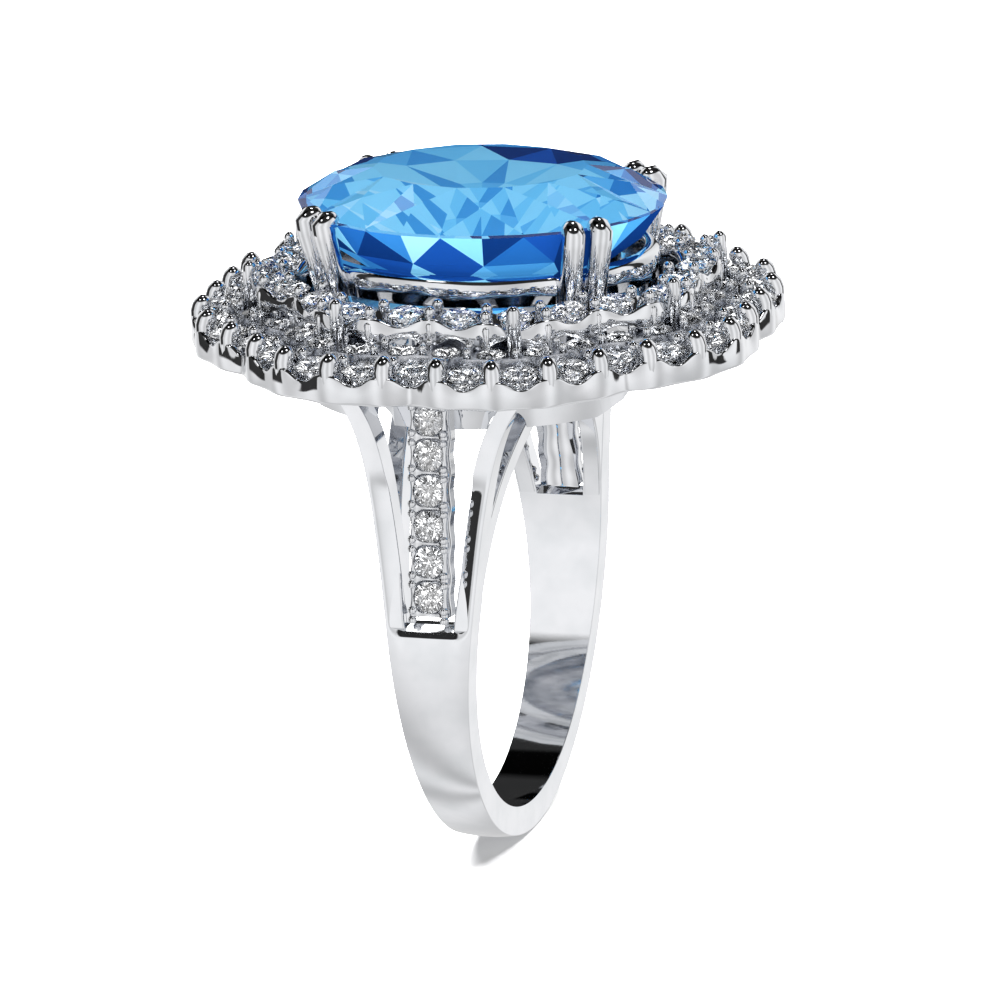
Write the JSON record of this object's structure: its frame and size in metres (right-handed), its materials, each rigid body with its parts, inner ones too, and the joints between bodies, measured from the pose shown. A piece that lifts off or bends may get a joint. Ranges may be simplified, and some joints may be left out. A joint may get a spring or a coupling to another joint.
{
  "type": "cocktail ring",
  "caption": "Cocktail ring with an oval blue stone in a claw basket over a lobed halo of small clear stones, on a white-metal band with split shoulders.",
  "frame": {"origin": "centre of the finger hole", "axes": "+Y along the finger hole, +X through one shoulder, +Z towards the centre stone"},
  "size_m": [0.023, 0.0246, 0.0294],
  "materials": {
    "white_gold": "mirror-polished rhodium-plated white gold",
    "clear_stone": "brilliant-cut colourless stones, polished facets",
    "blue_stone": "oval brilliant-cut blue topaz, polished facets"
  },
  "bodies": {
    "root": {"split_shank": "white_gold", "shoulder_bar_right": "white_gold", "shoulder_bar_left": "white_gold", "shoulder_grains_right": "white_gold", "shoulder_grains_left": "white_gold", "saddle_rail": "white_gold", "gallery_plate": "white_gold", "halo_rim": "white_gold", "rim_prongs_1": "white_gold", "rim_prongs_2": "white_gold", "rim_prongs_3": "white_gold", "rim_prongs_4": "white_gold", "rim_prongs_5": "white_gold", "rim_prongs_6": "white_gold", "rim_prongs_7": "white_gold", "rim_prongs_8": "white_gold", "middle_rail": "white_gold", "middle_prongs": "white_gold", "tier_ring": "white_gold", "tier_prongs_1": "white_gold", "tier_prongs_2": "white_gold", "tier_prongs_3": "white_gold", "tier_prongs_4": "white_gold", "tier_prongs_5": "white_gold", "tier_prongs_6": "white_gold", "tier_prongs_7": "white_gold", "tier_prongs_8": "white_gold", "lobe_posts": "white_gold", "basket_lower_rail": "white_gold", "basket_upper_rail": "white_gold", "claw_pair_front_right": "white_gold", "claw_pair_back_right": "white_gold", "claw_pair_back_left": "white_gold", "claw_pair_front_left": "white_gold", "shoulder_stones_right": "clear_stone", "shoulder_stones_left": "clear_stone", "rim_stones_1": "clear_stone", "rim_stones_2": "clear_stone", "rim_stones_3": "clear_stone", "rim_stones_4": "clear_stone", "rim_stones_5": "clear_stone", "rim_stones_6": "clear_stone", "rim_stones_7": "clear_stone", "rim_stones_8": "clear_stone", "middle_stones": "clear_stone", "tier_stones_1": "clear_stone", "tier_stones_2": "clear_stone", "tier_stones_3": "clear_stone", "tier_stones_4": "clear_stone", "tier_stones_5": "clear_stone", "tier_stones_6": "clear_stone", "tier_stones_7": "clear_stone", "tier_stones_8": "clear_stone", "centre_stone": "blue_stone"}
  },
  "joints": []
}
